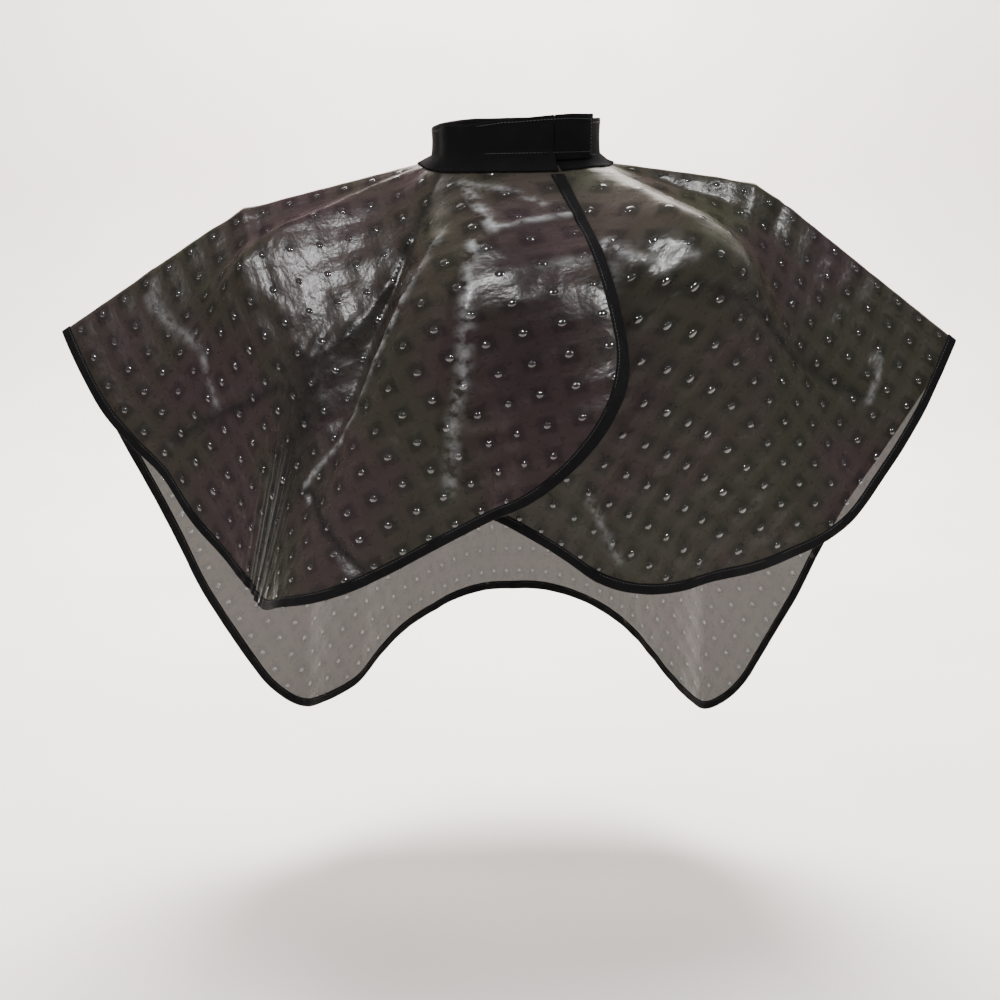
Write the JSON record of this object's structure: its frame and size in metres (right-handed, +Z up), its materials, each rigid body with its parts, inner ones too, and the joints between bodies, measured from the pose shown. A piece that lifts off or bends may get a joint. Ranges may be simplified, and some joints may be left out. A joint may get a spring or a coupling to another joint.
{
  "type": "barber cape",
  "caption": "Short translucent embossed-film hairdressing cape with a bound edge, a black stand-up neckband and a hook-and-loop lap closure at the nape.",
  "frame": {"origin": "centre of the closed neck opening at the lower edge of the neckband", "axes": "+Z up along the neck, -Y towards the closure side, +X towards the shoulder on the right when the closure is viewed"},
  "size_m": [0.8931, 0.4003, 0.6587],
  "materials": {
    "film": "thin translucent grey-brown film with an embossed cube pattern",
    "binding_tape": "black woven folded tape",
    "neckband_fabric": "black woven fabric",
    "loop_fabric": "black brushed loop tape",
    "hook_tape": "black moulded hook tape"
  },
  "bodies": {
    "cape": {"film_left_side": "film", "film_far_left": "film", "film_far_right": "film", "film_right_panel": "film", "binding_left_side": "binding_tape", "binding_far_left": "binding_tape", "binding_far_right": "binding_tape", "binding_right_panel": "binding_tape", "neckband": "neckband_fabric", "neck_seam_tape": "neckband_fabric", "loop_strip": "loop_fabric"},
    "closure_flap": {"film_closure_flap": "film", "binding_closure_flap": "binding_tape", "neckband_tab": "neckband_fabric", "flap_seam_tape": "neckband_fabric", "hook_strip": "hook_tape"}
  },
  "joints": [
    {"name": "closure_open", "type": "hinge", "parent": "cape", "child": "closure_flap", "pos_m": [-0.06589, -0.04965, 0], "axis": [-0.3501, -0.2638, -0.8988], "range_deg": [0, 75]}
  ]
}
